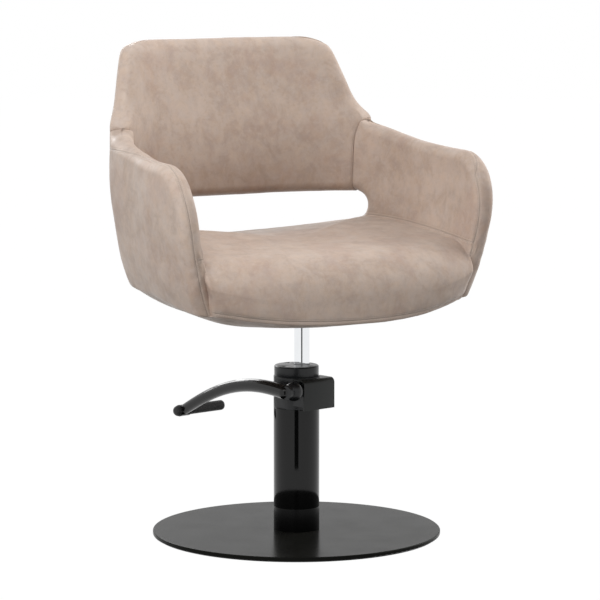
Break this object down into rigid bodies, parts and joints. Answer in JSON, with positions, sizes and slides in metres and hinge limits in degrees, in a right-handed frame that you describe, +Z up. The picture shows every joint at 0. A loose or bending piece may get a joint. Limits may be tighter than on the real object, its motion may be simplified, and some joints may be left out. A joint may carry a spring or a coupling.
{
  "type": "hairdressing chair",
  "caption": "Upholstered bucket chair with a slotted back on a hydraulic pump column, with a foot lever, a chromed ram and a round floor plate.",
  "frame": {"origin": "on the floor, at the centre of the mat's underside, under the column's axis", "axes": "+Z up, -Y the way the sitter faces, +X to the sitter's left"},
  "size_m": [0.7091, 0.6278, 0.952],
  "materials": {
    "upholstery": "beige vinyl-coated fabric with a worn, mottled print, satin",
    "plywood": "unfinished plywood",
    "column_paint": "gloss black",
    "head_casting": "gloss black paint on a casting",
    "plate_paint": "satin black powder coat",
    "lever_paint": "semi-gloss black",
    "black_steel": "black, satin",
    "ram_chrome": "polished hard chrome",
    "zinc_steel": "bright zinc",
    "bare_steel": "machined",
    "bearing_bronze": "machined bearing bronze",
    "cover_plastic": "moulded black",
    "grip_rubber": "moulded black rubber, satin",
    "seal_rubber": "nitrile",
    "mat_rubber": "matt"
  },
  "bodies": {
    "base": {"floor_mat": "mat_rubber", "base_plate": "plate_paint", "foot_screws": "zinc_steel", "foot_collar": "column_paint", "column_tube": "column_paint", "pressure_cylinder": "bare_steel", "cylinder_plug": "bare_steel", "pump_head": "head_casting", "rod_bush": "bearing_bronze", "head_cap": "column_paint", "rod_wiper": "seal_rubber", "cap_screws": "black_steel", "side_cover": "cover_plastic", "cover_screws": "black_steel", "plunger_sleeve": "bearing_bronze", "return_spring": "bare_steel"},
    "piston": {"piston_head": "bare_steel", "piston_seals": "seal_rubber", "thrust_washer": "bearing_bronze"},
    "seat": {"ram_rod": "ram_chrome", "ram_socket": "black_steel", "mount_plate": "black_steel", "mount_bolts": "zinc_steel", "tee_nuts": "zinc_steel", "seat_board": "plywood", "shell_frame": "bare_steel", "bottom_cover": "upholstery", "rear_apron": "upholstery", "seat_pad": "upholstery", "arm_pad_left": "upholstery", "arm_pad_right": "upholstery", "back_pad": "upholstery"},
    "lever": {"rocker_shaft": "bare_steel", "rocker_arm": "bare_steel", "lever_hub": "lever_paint", "hub_screw": "black_steel", "lever_arm": "lever_paint", "pedal_bar": "bare_steel", "pedal_sleeve": "grip_rubber", "pedal_knob": "cover_plastic"},
    "plunger": {"pump_plunger": "bare_steel"}
  },
  "joints": [
    {"name": "height_slide", "type": "slide", "parent": "base", "child": "piston", "axis": [0, 0, 1], "range_m": [-0.07, 0.07]},
    {"name": "seat_swivel", "type": "hinge", "parent": "piston", "child": "seat", "pos_m": [0.01374, 0.00267, 0.45], "axis": [0, 0, 1], "continuous": true},
    {"name": "lever_pump", "type": "hinge", "parent": "base", "child": "lever", "pos_m": [0.00878, -0.04516, 0.291], "axis": [-0.9816, -0.1908, 0], "range_deg": [0, 22], "stiffness_Nm_per_rad": 8, "springref_deg": -28.65},
    {"name": "plunger_stroke", "type": "slide", "parent": "base", "child": "plunger", "axis": [0, 0, 1], "range_m": [-0.0072, 0.0001], "deforming": ["return_spring"]}
  ],
  "couplings": [
    {"joint": "plunger_stroke", "follows": "lever_pump", "m_per_rad": -0.018}
  ]
}
